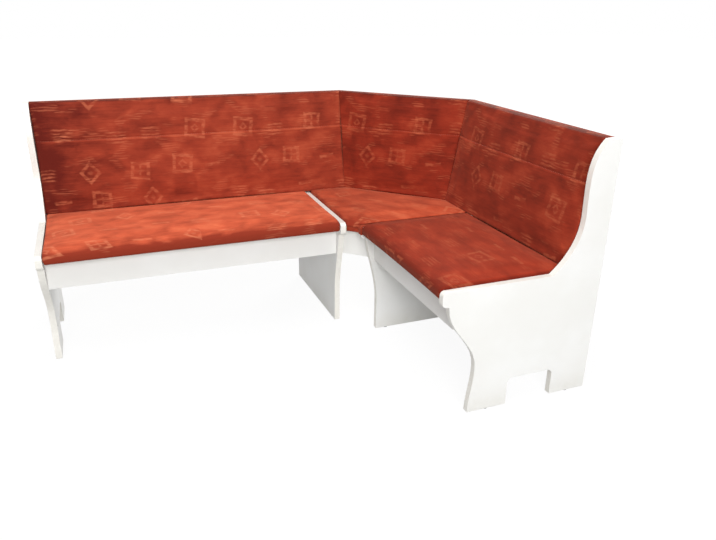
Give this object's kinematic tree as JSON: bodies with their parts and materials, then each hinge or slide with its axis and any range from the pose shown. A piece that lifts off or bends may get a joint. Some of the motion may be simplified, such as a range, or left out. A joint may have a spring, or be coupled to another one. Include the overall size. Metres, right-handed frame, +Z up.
{
  "type": "corner storage bench",
  "caption": "L-shaped upholstered corner bench with leaning backs, laminated side panels and lift-up arm seats over storage chests.",
  "frame": {"origin": "middle of the footprint, on the floor", "axes": "+X along the long arm towards the room corner, +Y towards the wall behind the long arm, +Z up"},
  "size_m": [1.7, 1.28, 0.862],
  "materials": {
    "white_laminate": "white laminated chipboard, satin",
    "seat_velour": "rust velour with a woven tone-on-tone pattern",
    "back_velour": "rust velour with a woven tone-on-tone pattern",
    "pale_board": "raw board",
    "beech": "planed batten",
    "zinc_steel": "zinc plated",
    "grey_nylon": "moulded nylon"
  },
  "bodies": {
    "frame": {"left_end_panel": "white_laminate", "right_end_panel": "white_laminate", "long_inner_panel": "white_laminate", "short_inner_panel": "white_laminate", "left_end_panel_front_glide": "grey_nylon", "left_end_panel_rear_glide": "grey_nylon", "right_end_panel_front_glide": "grey_nylon", "right_end_panel_rear_glide": "grey_nylon", "long_inner_panel_front_glide": "grey_nylon", "long_inner_panel_rear_glide": "grey_nylon", "short_inner_panel_front_glide": "grey_nylon", "short_inner_panel_rear_glide": "grey_nylon", "long_front_apron": "white_laminate", "short_front_apron": "white_laminate", "corner_front_apron": "white_laminate", "long_chest_rear_board": "white_laminate", "short_chest_rear_board": "white_laminate", "long_chest_floor": "white_laminate", "short_chest_floor": "white_laminate", "long_back_rail": "white_laminate", "short_back_rail": "white_laminate", "long_back_post": "beech", "short_back_post": "beech", "long_back_cleat": "beech", "short_back_cleat": "beech", "long_back_board": "pale_board", "short_back_board": "pale_board", "corner_back_board": "pale_board", "long_back_cushion": "back_velour", "short_back_cushion": "back_velour", "corner_back_cushion": "back_velour", "long_lower_bracket": "zinc_steel", "long_upper_bracket": "zinc_steel", "short_lower_bracket": "zinc_steel", "short_upper_bracket": "zinc_steel", "corner_seat_board": "pale_board", "corner_seat_cushion": "seat_velour", "corner_long_batten": "beech", "corner_short_batten": "beech", "long_outer_pivot_bush": "grey_nylon", "long_inner_pivot_bush": "grey_nylon", "short_outer_pivot_bush": "grey_nylon", "short_inner_pivot_bush": "grey_nylon"},
    "long_lid": {"long_seat_board": "pale_board", "long_seat_cushion": "seat_velour", "long_outer_pivot_pin": "zinc_steel", "long_inner_pivot_pin": "zinc_steel"},
    "short_lid": {"short_seat_board": "pale_board", "short_seat_cushion": "seat_velour", "short_outer_pivot_pin": "zinc_steel", "short_inner_pivot_pin": "zinc_steel"}
  },
  "joints": [
    {"name": "long_lid_hinge", "type": "hinge", "parent": "frame", "child": "long_lid", "pos_m": [-0.3075, 0.456, 0.4183], "axis": [-1, 0, 0], "range_deg": [0, 90]},
    {"name": "short_lid_hinge", "type": "hinge", "parent": "frame", "child": "short_lid", "pos_m": [0.666, -0.3075, 0.4183], "axis": [0, 1, 0], "range_deg": [0, 90]}
  ]
}
